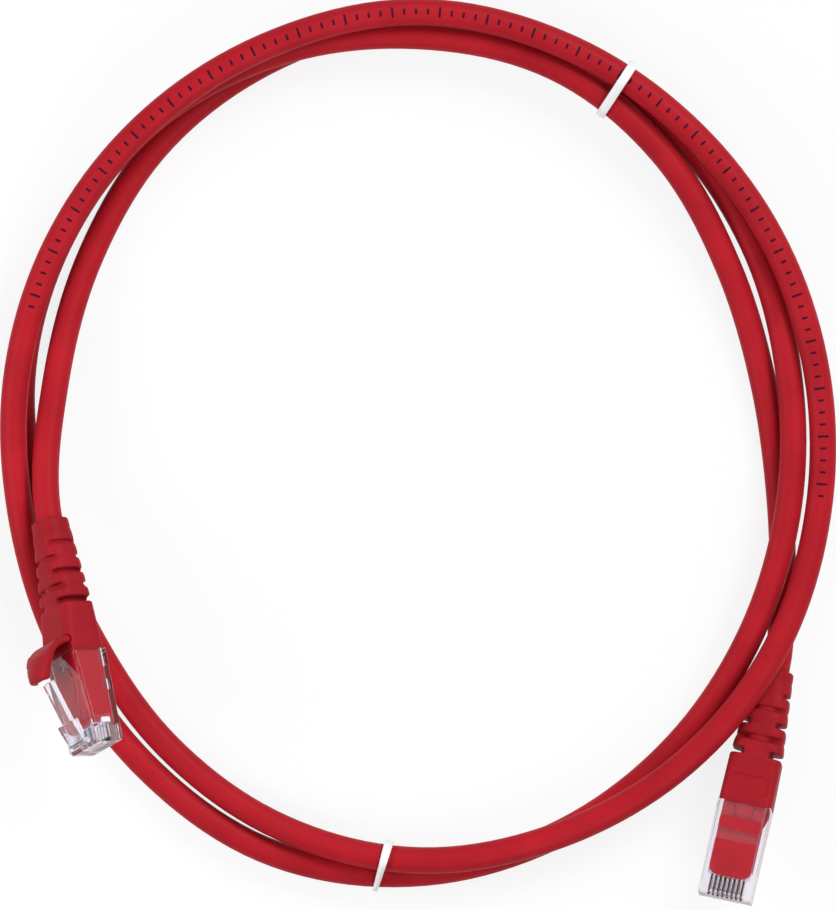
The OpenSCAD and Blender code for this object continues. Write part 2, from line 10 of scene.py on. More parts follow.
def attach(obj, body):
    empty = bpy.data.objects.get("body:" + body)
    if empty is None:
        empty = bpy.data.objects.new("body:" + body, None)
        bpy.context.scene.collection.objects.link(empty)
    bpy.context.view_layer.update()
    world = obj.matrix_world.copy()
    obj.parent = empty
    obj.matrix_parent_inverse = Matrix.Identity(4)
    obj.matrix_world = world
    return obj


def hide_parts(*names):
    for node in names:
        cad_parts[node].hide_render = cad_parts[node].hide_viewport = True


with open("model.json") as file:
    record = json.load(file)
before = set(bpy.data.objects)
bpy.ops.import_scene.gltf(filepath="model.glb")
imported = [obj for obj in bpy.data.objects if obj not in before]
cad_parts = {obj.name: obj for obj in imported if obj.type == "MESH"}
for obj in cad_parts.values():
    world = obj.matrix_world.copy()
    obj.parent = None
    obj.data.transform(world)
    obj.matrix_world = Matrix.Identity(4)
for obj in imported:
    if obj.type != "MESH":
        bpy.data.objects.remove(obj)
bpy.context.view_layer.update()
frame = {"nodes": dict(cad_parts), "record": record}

# A red network patch cable, lying in a ring of some two and a half turns held by two wire ties,
# with a clear plug in a ribbed boot at each end. Sizes are in metres where no comment says mm.


def linearColour(hexColour):
    channels = [int(hexColour[i:i + 2], 16) / 255 for i in (1, 3, 5)]
    return tuple(c / 12.92 if c <= 0.04045 else ((c + 0.055) / 1.055) ** 2.4
                 for c in channels) + (1.0,)


def addNode(owner, kind, settings=None, **links):
    # The owner is a material or the world. Links name an input socket, with _ for a blank or before
    # its number, and give it a value, or (node, output) to join to it.
    tree = owner.node_tree
    node = tree.nodes.new(kind)
    for key, value in (settings or {}).items():
        setattr(node, key, value)
    for key, value in links.items():
        socket = node.inputs[int(key[1:]) if key[1:].isdigit() else key.replace("_", " ")]
        if isinstance(value, tuple) and isinstance(value[0], bpy.types.Node):
            tree.links.new(value[0].outputs[value[1]], socket)
        else:
            socket.default_value = value
    return node


def startMaterial(name):
    material = bpy.data.materials.new(name)
    material.use_nodes = True
    material.node_tree.nodes.clear()
    return material


def finishMaterial(material, shader):
    addNode(material, "ShaderNodeOutputMaterial", Surface=(shader, 0))
    return material


def selectOnly(piece):
    bpy.ops.object.select_all(action="DESELECT")
    piece.select_set(True)
    bpy.context.view_layer.objects.active = piece


def giveMaterial(piece, material):
    piece.data.materials.clear()
    piece.data.materials.append(material)


def applyModifiers(piece):
    selectOnly(piece)
    for modifier in list(piece.modifiers):
        bpy.ops.object.modifier_apply(modifier=modifier.name)


def smoothByAngle(piece, degrees=35):
    selectOnly(piece)
    bpy.ops.object.shade_smooth_by_angle(angle=math.radians(degrees))


cameraSetup = {
    "middle": (0.00142, 0.00606),  # the point of the floor at the view's centre
    "height": 2.4,
    "fieldHeight": 0.1978,         # the floor that it takes in, from the view's bottom to its top
}


def makeCamera(setup):
    bpy.ops.object.camera_add(location=(*setup["middle"], setup["height"]), rotation=(0, 0, 0))
    camera = bpy.context.object
    camera.name = "overheadCamera"
    camera.data.lens = camera.data.sensor_width * setup["height"] / setup["fieldHeight"]
    camera.data.clip_start = 0.1
    camera.data.clip_end = 50
    bpy.context.scene.camera = camera


makeCamera(cameraSetup)
print("camera set")


def plugFrame(letter):
    # x runs from the boot's cable end to the nose, z is the latch side
    record = frame["record"]
    nose = [m for m in record["mounts"] if m["name"] == f"plug_{letter}_nose"][0]
    hinge = [j for j in record["behaviour"]["joints"] if j["name"] == f"hood_{letter}_bend"][0]
    along = Vector(nose["axis"]).normalized()
    across = Vector(hinge["axis"]).normalized()
    start = Vector(nose["pos_m"]) - along * plug["length"]
    turned = Matrix((along, across, along.cross(across))).transposed().to_4x4()
    return Matrix.Translation(start) @ turned


plug = {
    "length": 0.0512,      # boot and housing together
    "pairEnd": 35.0,       # in mm from here on, along the plug from the boot's cable end
    "hoodPivot": (27.7, 4.55),
    "latchFace": ((30.4, 4.05), (46.8, 2.65)),  # its two ends: along, then height
    "bond": 0.13,          # how far the mould's skin is set into the clear walls
}
plugFrames = {letter: plugFrame(letter) for letter in "ab"}


cable = {
    "diameter": 0.0058,
    "ringCentre": (0.0012, 0.0078),
    "splay": (0, 19),      # degrees by which plug A and plug B lean out of the ring
    "pitch": (14, 10.5),   # degrees by which they point up
    "insidePlug": 0.0334,  # how far it reaches into each plug
    "insideSteps": 8,      # points of its line in there
    "mouth": 0.0036,       # where it leaves the collar
    "sides": 32,
    "step": 2,             # degrees between the rings of the skin, nearly
    # angle clockwise from the ring's left side, then radius and height of the centre, in mm
    "route": [
        (-11.5, 81, 15), (10, 79.5, 8.8), (30, 82, 4.4), (50, 86.5, 3.3), (70, 90, 3.3),
        (90, 93, 3.6), (110, 92, 4.1), (130, 88.5, 4.2), (150, 85, 4.6), (170, 82, 7.6),
        (190, 81.5, 9.6), (210, 83, 8.5), (230, 86, 5), (250, 89.5, 3.3), (270, 92.5, 4.1),
        (290, 93.5, 3.9), (310, 91, 3.3), (330, 88.5, 4.3), (350, 87, 9.2), (370, 88, 9.8),
        (390, 89.5, 10.8), (410, 91, 14.6), (430, 92.5, 16.4), (450, 94, 13.8), (470, 92.5, 12.5),
        (490, 90.5, 11), (510, 89, 10.4), (530, 88, 10.2), (550, 88, 10.4), (570, 89, 13),
        (590, 89.5, 11.6), (610, 89.5, 9.8), (630, 89.5, 9.8), (650, 87.5, 6.7), (670, 84.5, 3.5),
        (690, 82, 3.3), (710, 83.3, 3.3), (730, 87, 3.3), (750, 89.5, 3.8), (770, 91, 8.2),
        (790, 90.5, 9.9), (810, 89, 9), (830, 87.5, 8.5), (850, 83, 7.7), (870, 78, 5.2),
        (890, 76.5, 3.3), (908, 79.5, 3.2), (922, 85.5, 3.5), (932, 91.8, 5.6)],
}


def routeSlopes():
    # each point's slope per degree, eased between its neighbours; the ends follow the plugs
    route = np.array(cable["route"], float)
    chords = np.diff(route[:, 1:], axis=0) / np.diff(route[:, 0])[:, None]
    spans = np.diff(route[:, 0])[:, None]
    slopes = np.zeros((len(route), 2))
    slopes[1:-1] = (chords[:-1] * spans[1:] + chords[1:] * spans[:-1]) / (spans[1:] + spans[:-1])
    for end, sign in ((0, -1), (-1, 1)):
        splay, pitch = math.radians(cable["splay"][end]), math.radians(cable["pitch"][end])
        slopes[end] = np.radians(route[end, 1]) * sign * np.array(
            (math.tan(splay), math.tan(pitch) / math.cos(splay)))
    return slopes


slopes = routeSlopes()


def routeAt(angle):
    # radius and height in mm, on a smooth curve through the route's points
    route = cable["route"]
    i = max(0, min(len(route) - 2, sum(1 for p in route if p[0] <= angle) - 1))
    span = route[i + 1][0] - route[i][0]
    t = (angle - route[i][0]) / span
    here, there = np.array(route[i][1:]), np.array(route[i + 1][1:])
    return ((2 * t ** 3 - 3 * t ** 2 + 1) * here + (t ** 3 - 2 * t ** 2 + t) * span * slopes[i]
            + (3 * t ** 2 - 2 * t ** 3) * there + (t ** 3 - t ** 2) * span * slopes[i + 1])


def placeAt(angle):
    radius, height = routeAt(angle) / 1000
    x, y = cable["ringCentre"]
    return (x - radius * math.cos(math.radians(angle)), y + radius * math.sin(math.radians(angle)),
            height)


firstAngle, lastAngle = cable["route"][0][0], cable["route"][-1][0]
lineAngles = np.linspace(firstAngle, lastAngle, int((lastAngle - firstAngle) / cable["step"]) + 1)


def cableLine(reach):
    # the cable's middle line, this far into each plug
    count = cable["insideSteps"]
    middle = [placeAt(a) for a in lineAngles]
    steps = [reach * k / count for k in range(count, 0, -1)]
    head = [tuple(plugFrames["a"] @ Vector((x, 0, 0))) for x in steps]
    tail = [tuple(plugFrames["b"] @ Vector((x, 0, 0))) for x in reversed(steps)]
    return np.array(head + middle + tail)


def unit(vectors):
    return vectors / np.linalg.norm(vectors, axis=-1, keepdims=True)


def ramp(values, start, full):
    # 0 up to the start, 1 from the full value on, and straight between them
    return np.clip((values - start) / (full - start), 0, 1)


def runAlong(line):
    # how far along the line each of its points lies
    return np.concatenate(([0], np.cumsum(np.linalg.norm(np.diff(line, axis=0), axis=1))))


def directions(line):
    ahead = np.roll(line, -1, 0) - np.roll(line, 1, 0)
    ahead[0], ahead[-1] = line[1] - line[0], line[-1] - line[-2]
    return unit(ahead)


def acrossLevel(line):
    # side and up of an outline that stands across the line, kept level with the floor
    ahead = directions(line)
    side = unit(np.cross(ahead, (0, 0, 1)))
    return side, np.cross(side, ahead)


def skinAlong(name, line, side, up, outline, closed=False, widths=None):
    # A skin through one outline at each point of the line. Its UV is the way along, in the line's
    # own unit, and the share of the way round.
    sides, count = len(outline), len(line)
    widths = np.ones(count) if widths is None else widths
    mesh = bpy.data.meshes.new(name)
    build = bmesh.new()
    rings = [[build.verts.new(line[i] + side[i] * x * widths[i] + up[i] * y) for x, y in outline]
             for i in range(count)]
    run = runAlong(line)
    uvLayer = build.loops.layers.uv.new("UVMap")
    for i in range(count if closed else count - 1):
        after = (i + 1) % count
        end = run[after] if after else run[-1] + run[1]
        for k in range(sides):
            beside = (k + 1) % sides
            face = build.faces.new((rings[i][k], rings[i][beside],
                                    rings[after][beside], rings[after][k]))
            here, there = k / sides, (k + 1) / sides
            corners = ((run[i], here), (run[i], there), (end, there), (end, here))
            for loop, corner in zip(face.loops, corners):
                loop[uvLayer].uv = corner
            face.smooth = True
    if not closed:
        build.faces.new(reversed(rings[0]))
        build.faces.new(rings[-1])
    bmesh.ops.recalc_face_normals(build, faces=build.faces)
    build.to_mesh(mesh)
    build.free()
    piece = bpy.data.objects.new(name, mesh)
    bpy.context.scene.collection.objects.link(piece)
    return piece


def roundOutline(radius, sides):
    return [(radius * math.cos(2 * math.pi * k / sides), radius * math.sin(2 * math.pi * k / sides))
            for k in range(sides)]


printedTicks = {
    "from": 378, "to": 547,       # angles of the cable's line between which the marks lie
    "pitch": 0.0026,
    "width": 0.0005,
    "longEvery": 4,
    "short": 0.07, "long": 0.13,  # share of the way round the cable
    "top": 0.25,                  # where the top lies, as such a share
    "ink": "#3b1029",
}


def inkTicks(material, uv, start, end):
    # 1 where the length marks are printed: a tick every few mm along the top, each fourth one long
    along = addNode(material, "ShaderNodeSeparateXYZ", Vector=(uv, "UV"))
    inRange = addNode(material, "ShaderNodeMath", {"operation": "COMPARE"},
                      _0=(along, "X"), _1=(start + end) / 2, _2=(end - start) / 2)
    pitch, marks = printedTicks["pitch"], []
    for spacing, reach in ((pitch, printedTicks["short"]),
                           (printedTicks["longEvery"] * pitch, printedTicks["long"])):
        step = addNode(material, "ShaderNodeMath", {"operation": "MODULO"},
                       _0=(along, "X"), _1=spacing)
        onTick = addNode(material, "ShaderNodeMath", {"operation": "COMPARE"},
                         _0=(step, 0), _1=pitch / 2, _2=printedTicks["width"] / 2)
        nearTop = addNode(material, "ShaderNodeMath", {"operation": "COMPARE"},
                          _0=(along, "Y"), _1=printedTicks["top"], _2=reach / 2)
        marks.append(addNode(material, "ShaderNodeMath", {"operation": "MULTIPLY"},
                             _0=(onTick, 0), _1=(nearTop, 0)))
    both = addNode(material, "ShaderNodeMath", {"operation": "MAXIMUM"},
                   _0=(marks[0], 0), _1=(marks[1], 0))
    return addNode(material, "ShaderNodeMath", {"operation": "MULTIPLY"},
                   _0=(both, 0), _1=(inRange, 0))


def lengthAt(angle):
    # how far along the cable's skin an angle of its line lies
    count = cable["insideSteps"] + int(np.searchsorted(lineAngles, angle))
    return float(runAlong(cableLine(cable["insidePlug"]))[count])


def unevenTint(material, size, detail, low, high):
    # a cloudy mix of two colours, in patches this many mm across
    place = addNode(material, "ShaderNodeTexCoord")
    cloud = addNode(material, "ShaderNodeTexNoise", Vector=(place, "Object"), Scale=1000 / size,
                    Detail=detail)
    tint = addNode(material, "ShaderNodeValToRGB", Fac=(cloud, "Fac"))
    for stop, position, colour in zip(tint.color_ramp.elements, (0.3, 0.7), (low, high)):
        stop.position, stop.color = position, linearColour(colour)
    return tint


def fineGrain(material, size, detail, strength, depth):
    # a bump whose grains are this many mm across, and so many mm deep at full strength
    place = addNode(material, "ShaderNodeTexCoord")
    grain = addNode(material, "ShaderNodeTexNoise", Vector=(place, "Object"), Scale=1000 / size,
                    Detail=detail)
    return addNode(material, "ShaderNodeBump", Height=(grain, "Fac"), Strength=strength,
                   Distance=depth / 1000)


def jacketVinyl():
    # Extruded PVC: a satin skin of faintly uneven red, with length marks printed on one stretch.
    # Its grain is drawn coarser than it is, to show.
    material = startMaterial("extrudedVinyl")
    tint = unevenTint(material, 11.11, 3.0, "#a81b26", "#b81f2b")
    bump = fineGrain(material, 0.4167, 2.0, 0.12, 0.04)
    uv = addNode(material, "ShaderNodeUVMap", {"uv_map": "UVMap"})
    ticks = inkTicks(material, uv, lengthAt(printedTicks["from"]), lengthAt(printedTicks["to"]))
    printed = addNode(material, "ShaderNodeMix", {"data_type": "RGBA"}, _0=(ticks, 0),
                      _6=(tint, "Color"), _7=linearColour(printedTicks["ink"]))
    shader = addNode(material, "ShaderNodeBsdfPrincipled", Base_Color=(printed, 2),
                     Normal=(bump, "Normal"), Roughness=0.48, IOR=1.53, Specular_IOR_Level=0.07)
    return finishMaterial(material, shader)


def mouldedVinyl(name, low, high, rough):
    # Flexible PVC, injection moulded: matt from the mould's fine eroded grain, of uneven red. The
    # grain is drawn coarser than it is, to show.
    material = startMaterial(name)
    tint = unevenTint(material, 6.25, 4.0, low, high)
    bump = fineGrain(material, 0.2632, 2.0, 0.2, 0.05)
    shader = addNode(material, "ShaderNodeBsdfPrincipled", Base_Color=(tint, "Color"),
                     Normal=(bump, "Normal"), Roughness=rough, IOR=1.53, Specular_IOR_Level=0.07)
    return finishMaterial(material, shader)


def clearPolycarbonate(name, rough):
    # Injection moulded: glassy, with a cold tinge and faint flow ripples. The lamps shine through it.
    material = startMaterial(name)
    bump = fineGrain(material, 3.125, 1.0, 0.05, 0.1)
    shader = addNode(material, "ShaderNodeBsdfPrincipled", Base_Color=linearColour("#f0edf6"),
                     Normal=(bump, "Normal"), Roughness=rough, IOR=1.585,
                     Transmission_Weight=1.0, Specular_IOR_Level=0.12)
    passing = addNode(material, "ShaderNodeBsdfTransparent", Color=linearColour("#e9e5f2"))
    rays = addNode(material, "ShaderNodeLightPath")
    mix = addNode(material, "ShaderNodeMixShader", _0=(rays, "Is Shadow Ray"), _1=(shader, 0),
                  _2=(passing, 0))
    return finishMaterial(material, mix)


def plainPlastic(name, colour, rough):
    # smooth moulded or extruded plastic, with a slight unevenness in its gloss
    material = startMaterial(name)
    bump = fineGrain(material, 1.111, 2.0, 0.15, 0.05)
    shader = addNode(material, "ShaderNodeBsdfPrincipled", Base_Color=linearColour(colour),
                     Normal=(bump, "Normal"), Roughness=rough, IOR=1.5)
    return finishMaterial(material, shader)


def bareMetal(name, colour, rough):
    # Drawn or stamped metal, with a soft gloss from the fine marks of the tool, which are drawn
    # coarser than they are, to show.
    material = startMaterial(name)
    bump = fineGrain(material, 0.3846, 2.0, 0.2, 0.02)
    shader = addNode(material, "ShaderNodeBsdfPrincipled", Base_Color=linearColour(colour),
                     Normal=(bump, "Normal"), Roughness=rough, Metallic=1.0)
    return finishMaterial(material, shader)


materials = {
    "jacket": jacketVinyl(),
    "boot": mouldedVinyl("bootVinyl", "#991a24", "#a71e29", 0.5),
    "mould": mouldedVinyl("mouldVinyl", "#9c1520", "#aa1a26", 0.45),
    "clear": clearPolycarbonate("clearPolycarbonate", 0.03),
    "frosted": clearPolycarbonate("frostedPolycarbonate", 0.11),
    "contact": bareMetal("goldPlatedBronze", "#85756a", 0.3),
    "guide": plainPlastic("naturalPolypropylene", "#e4e4de", 0.4),
    "separator": plainPlastic("naturalPolyethylene", "#dfe1dc", 0.45),
    "tie": plainPlastic("whiteTieVinyl", "#fafafc", 0.38),
    "wire": bareMetal("annealedSteel", "#a9abad", 0.4),
}


wireColours = {"blue": "#3f5f95", "orange": "#c98552", "green": "#4f8460", "brown": "#735440",
               "white": "#e6e4de"}
stripe = {"turnsPerMetre": 120.0, "share": 0.3}  # share of the way round that is coloured


def stripedInsulation(name, colour):
    # White extruded polyethylene with one coloured stripe that winds round it. On the conductor
    # ends, whose UV is in mm, the stripe is too fine to be seen apart and only tints them.
    material = plainPlastic(name, wireColours["white"], 0.35)
    uv = addNode(material, "ShaderNodeUVMap", {"uv_map": "UVMap"})
    part = addNode(material, "ShaderNodeSeparateXYZ", Vector=(uv, "UV"))
    wound = addNode(material, "ShaderNodeMath", {"operation": "MULTIPLY_ADD"},
                    _0=(part, "X"), _1=stripe["turnsPerMetre"], _2=(part, "Y"))
    share = addNode(material, "ShaderNodeMath", {"operation": "FRACT"}, _0=(wound, 0))
    coloured = addNode(material, "ShaderNodeMath", {"operation": "LESS_THAN"},
                       _0=(share, 0), _1=stripe["share"])
    mix = addNode(material, "ShaderNodeMix", {"data_type": "RGBA"}, _0=(coloured, 0),
                  _6=linearColour(wireColours["white"]), _7=linearColour(colour))
    shader = [n for n in material.node_tree.nodes if n.type == "BSDF_PRINCIPLED"][0]
    material.node_tree.links.new(mix.outputs[2], shader.inputs["Base Color"])
    return material


for wireName in ("blue", "orange", "green", "brown"):
    colour = wireColours[wireName]
    materials[wireName] = plainPlastic(wireName + "Insulation", colour, 0.35)
    materials["white" + wireName] = stripedInsulation(wireName + "Stripe", colour)
print("materials made")


jacketLine = cableLine(cable["insidePlug"])
jacket = skinAlong("patchCable", jacketLine, *acrossLevel(jacketLine),
                   roundOutline(cable["diameter"] / 2, cable["sides"]))
giveMaterial(jacket, materials["jacket"])
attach(jacket, "cable")
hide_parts("cable_jacket")
print("cable laid", round(float(runAlong(jacketLine)[-1]), 4), "m")


core = {
    "pairOffset": 0.001325,     # from the cable's middle to the middle of each pair
    "wireRadius": 0.00036,
    "wireStep": 0.0014, "wireSides": 6,
    "lay": {"blue": 0.0135, "orange": 0.0155, "green": 0.0145, "brown": 0.0165},  # one twist
    "separatorEnd": 0.0342,     # how far it reaches into each plug
    "separatorStep": 0.003,
    "separatorReach": 0.00198,  # from the cable's middle to the tip of each arm
    "separatorTip": 0.0001, "separatorMiddle": 0.0003,  # how thick the arms are
}


def finishOnCable(piece, material, nodeName):
    giveMaterial(piece, materials[material])
    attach(piece, "cable")
    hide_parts(nodeName)


def evenLine(line, step):
    # the same line with its points evenly spaced, and how far along it they lie
    run = runAlong(line)
    places = np.linspace(0, run[-1], int(run[-1] / step))
    return np.stack([np.interp(places, run, line[:, k]) for k in range(3)], 1), places


def twistedPairs():
    line, run = evenLine(cableLine(plug["pairEnd"] / 1000), core["wireStep"])
    side, up = acrossLevel(line)
    for quarter, colour in enumerate(("blue", "orange", "green", "brown")):
        corner = math.radians(45 + 90 * quarter)
        centre = line + core["pairOffset"] * (side * math.cos(corner) + up * math.sin(corner))
        for half, name in enumerate((colour, "white" + colour)):
            turned = (2 * math.pi * run / core["lay"][colour] + math.pi * half)[:, None]
            wire = centre + core["wireRadius"] * (side * np.cos(turned) + up * np.sin(turned))
            piece = skinAlong("wire_" + name, wire, *acrossLevel(wire),
                              roundOutline(core["wireRadius"], core["wireSides"]))
            finishOnCable(piece, name, "pair_" + colour)


def crossSeparator():
    tip, middle, reach = core["separatorTip"] / 2, core["separatorMiddle"] / 2, core["separatorReach"]
    outline = []
    for x, y in ((1, 0), (0, 1), (-1, 0), (0, -1)):
        outline += [(reach * x + tip * y, reach * y - tip * x),
                    (reach * x - tip * y, reach * y + tip * x),
                    (middle * (x - y), middle * (y + x))]
    line = evenLine(cableLine(core["separatorEnd"]), core["separatorStep"])[0]
    piece = skinAlong("separator", line, *acrossLevel(line), outline)
    finishOnCable(piece, "separator", "pair_separator")
    smoothByAngle(piece)


twistedPairs()
crossSeparator()
print("pairs and separator inside the cable")


plugParts = {
    # piece: node, body, material, slot, how its edges are finished, size in mm, rounds of smoothing
    "housing": ("housing", "cable", "clear", "clear_housing", "bevel", 0.06, 0),
    "latch": ("latch", "latch", "clear", "clear_housing", "bevel", 0.08, 0),
    "contacts": ("contacts", "cable", "contact", "contact_metal", "bevel", 0.05, 0),
    "wireGuide": ("wire_guide", "cable", "guide", "guide_plastic", "bevel", 0.05, 0),
    "mould": ("inner_mould", "cable", "mould", "boot_plastic", "soften", 0.2, 4),
    "boot": ("boot", "cable", "boot", "boot_plastic", "soften", 0.2, 8),
    "hood": ("hood", "hood", "boot", "boot_plastic", "soften", 0.2, 8),
}


def copyOfNode(nodeName, pieceName, letter):
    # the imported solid, joined up and laid along its plug's own axes, in mm while it is worked on
    piece = bpy.data.objects.new(pieceName, frame["nodes"][nodeName].data.copy())
    bpy.context.scene.collection.objects.link(piece)
    piece.data.transform(Matrix.Scale(1000, 4) @ plugFrames[letter].inverted())
    selectOnly(piece)
    bpy.ops.mesh.customdata_custom_splitnormals_clear()
    bpy.ops.object.mode_set(mode="EDIT")
    bpy.ops.mesh.select_all(action="SELECT")
    bpy.ops.mesh.remove_doubles(threshold=0.001)
    bpy.ops.mesh.dissolve_limited(angle_limit=math.radians(1))
    bpy.ops.object.mode_set(mode="OBJECT")
    return piece


def bevelEdges(piece, width):
    # the flat faces keep their own normals, so that clear walls don't bend what is seen through them
    selectOnly(piece)
    bpy.ops.object.shade_smooth()
    bevel = piece.modifiers.new("edges", "BEVEL")
    bevel.width = width
    bevel.segments = 2
    bevel.limit_method = "ANGLE"
    bevel.angle_limit = math.radians(30)
    bevel.use_clamp_overlap = False   # or the comb's shortest edges would leave no bevel anywhere
    bevel.harden_normals = True
    applyModifiers(piece)


def softenEdges(piece, voxel, rounds):
    # rounds every edge, as soft moulded vinyl has it
    remesh = piece.modifiers.new("even", "REMESH")
    remesh.mode = "VOXEL"
    remesh.voxel_size = voxel
    smooth = piece.modifiers.new("soft", "SMOOTH")
    smooth.factor = 0.5
    smooth.iterations = rounds
    applyModifiers(piece)
    selectOnly(piece)
    bpy.ops.object.shade_smooth()


def easeSkin(piece, rounds):
    # evens the skin out once more, after its shape was worked on
    ease = piece.modifiers.new("ease", "SMOOTH")
    ease.factor = 0.5
    ease.iterations = rounds
    applyModifiers(piece)


def bondMould(piece, cover):
    # the mould fills the clear housing, so its skin lies just within the walls, with no air between
    grow = piece.modifiers.new("bond", "DISPLACE")
    grow.strength = cover
    grow.mid_level = 0
    applyModifiers(piece)


def placesOf(piece):
    places = np.empty(len(piece.data.vertices) * 3)
    piece.data.vertices.foreach_get("co", places)
    return places.reshape(-1, 3)


def givePlaces(piece, places):
    piece.data.vertices.foreach_set("co", places.ravel())
    piece.data.update()


bootShape = {
    # in mm, along the boot from its cable end
    "slotRows": (18.9, 15.58, 12.25, 8.93, 5.6, 2.3),
    "faceRows": (15.58, 8.93),
    "crown": 0.36,          # how deep a full half round across a ring would sink its edges
    "crownRound": 0.95,     # how near the crown comes to that, which would be 1
    "mouth": 0.1,           # how much further each face slot opens at its mouth, to each side
    # where these changes begin, and where they are full
    "cableEnd": (0, 0.5), "bodyEnd": (19.7, 19.3),
    "sleeve": (3.7, 4.7),        # out from the middle: the sleeve round the cable keeps its shape
    "mouthAside": (1.35, 0.45),  # from the slot's middle
    "mouthHeight": (3.0, 3.5),   # above or below the boot's middle
    "panelFrom": 24.2, "panelTo": 28.2, "panelHalf": 4.2,
    "panelSink": 0.14,      # added to the solid's own depth
    "skin": 0.9,            # how deep below the contact side the panel's own skin goes
    "easing": 1,            # rounds
}


def crownRings(piece):
    # each ring swells in its middle and sinks towards the slots beside it
    rows = np.array(bootShape["slotRows"])
    halfPitch = (rows[0] - rows[-1]) / (len(rows) - 1) / 2
    places = placesOf(piece)
    fromEdge = ramp(np.abs(places[:, :1] - rows).min(1), 0, halfPitch)
    fromMiddle = np.linalg.norm(places[:, 1:], axis=1)
    outer = ramp(fromMiddle, *bootShape["sleeve"])
    within = ramp(places[:, 0], *bootShape["cableEnd"]) * ramp(places[:, 0], *bootShape["bodyEnd"])
    sink = bootShape["crown"] * (1 - np.sqrt(1 - bootShape["crownRound"] * (1 - fromEdge) ** 2))
    places[:, 1:] *= (1 - sink * outer * within / np.maximum(fromMiddle, 1))[:, None]
    for row in bootShape["faceRows"]:
        side = places[:, 0] - row
        near = ramp(np.abs(side), *bootShape["mouthAside"]) * outer
        onFace = ramp(np.abs(places[:, 2]), *bootShape["mouthHeight"])
        places[:, 0] += np.sign(side) * bootShape["mouth"] * near * onFace
    givePlaces(piece, places)


def sinkPanel(piece):
    # the panel on the contact side of the boot's body, made a little deeper
    places = placesOf(piece)
    along, aside, height = places.T
    inPanel = ((along > bootShape["panelFrom"]) & (along < bootShape["panelTo"])
               & (np.abs(aside) < bootShape["panelHalf"]) & (height < height.min() + bootShape["skin"]))
    places[inPanel, 2] += bootShape["panelSink"]
    givePlaces(piece, places)


hoodShape = {
    # in mm, from the hood's pivot
    "arcAhead": 7.9,                 # the middle of its arc
    "outerReach": (8.7, 6.3), "innerReach": (7.2, 4.8),  # of the arc's two skins: along, then up
    "lip": 0.85,                     # how much deeper the sides reach
    "crown": 0.8, "crownHalf": 4.2,  # how far the outer skin falls away, and at what half width
    "crownMost": 1.2,                # how many such half widths out the fall goes on
    "rise": 0.8,                     # how much higher it arches than its root
    "narrowing": 0.2,                # share of its width that the tip loses
    "tipAhead": 8.3,
    # where these changes begin, and where they are full
    "pastRoot": (1.6, 3.6),          # lips and crown, along the hood
    "lipAside": (2.0, 2.6),
    "riseAlong": (1.0, 3.0),
    "easing": 5,                     # rounds
}


def shapeHood(piece):
    # The outer skin is crowned, arches up past the root and narrows to the tip. The sides reach
    # further in, round the latch.
    places = placesOf(piece)
    fromRoot = places[:, (0, 2)] - plug["hoodPivot"]
    fromArc = fromRoot - (hoodShape["arcAhead"], 0)
    toOuter = np.abs(np.linalg.norm(fromArc / hoodShape["outerReach"], axis=1) - 1)
    toInner = np.abs(np.linalg.norm(fromArc / hoodShape["innerReach"], axis=1) - 1)
    depth = toOuter / (toOuter + toInner)
    ahead, aside = fromRoot[:, 0], np.abs(places[:, 1])
    lip = hoodShape["lip"] * ramp(aside, *hoodShape["lipAside"])
    fall = np.minimum(aside / hoodShape["crownHalf"], hoodShape["crownMost"]) ** 2
    inward = depth * lip + (1 - depth) * fall * hoodShape["crown"]
    places[:, (0, 2)] += unit(-fromArc) * (inward * ramp(ahead, *hoodShape["pastRoot"]))[:, None]
    places[:, 2] += hoodShape["rise"] * ramp(ahead, *hoodShape["riseAlong"])
    places[:, 1] *= 1 - hoodShape["narrowing"] * ramp(ahead, 0, hoodShape["tipAhead"]) ** 2
    givePlaces(piece, places)


gateMark = {
    # in mm: the low oval pad that is moulded onto the housing's latch face
    "along": 36.9, "length": 9.4, "width": 5.4, "thickness": 0.5, "proud": 0.14,
}


def latchFace():
    # where the mark's middle lies on the latch face, and how far that face slopes
    (rear, high), (front, low) = plug["latchFace"]
    slope = (high - low) / (front - rear)
    return (gateMark["along"], 0, high - slope * (gateMark["along"] - rear)), math.atan(slope)


def addGateMark(housing):
    # joined to the clear plastic, with a frosted top and rim
    place, slope = latchFace()
    bpy.ops.object.select_all(action="DESELECT")
    bpy.ops.mesh.primitive_cylinder_add(vertices=48, radius=0.5, depth=1, location=(0, 0, 0))
    pad = bpy.context.object
    size = (gateMark["length"], gateMark["width"], gateMark["thickness"])
    pad.data.transform(Matrix.Diagonal((*size, 1)))
    pad.data.transform(Matrix.Translation((0, 0, gateMark["proud"] - gateMark["thickness"] / 2)))
    pad.data.transform(Matrix.Translation(place) @ Matrix.Rotation(slope, 4, "Y"))
    giveMaterial(housing, materials["clear"])
    giveMaterial(pad, materials["frosted"])
    join = housing.modifiers.new("mark", "BOOLEAN")
    join.operation = "UNION"
    join.object = pad
    join.material_mode = "TRANSFER"
    applyModifiers(housing)
    bpy.data.objects.remove(pad)


def finishPlugPiece(piece, letter, material, body, nodeName):
    # back to its place, in metres; the housing has its two materials already
    piece.data.transform(plugFrames[letter] @ Matrix.Scale(0.001, 4))
    if materials[material].name not in piece.data.materials:
        giveMaterial(piece, materials[material])
    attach(piece, "cable" if body == "cable" else f"{body}_{letter}")
    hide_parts(nodeName)


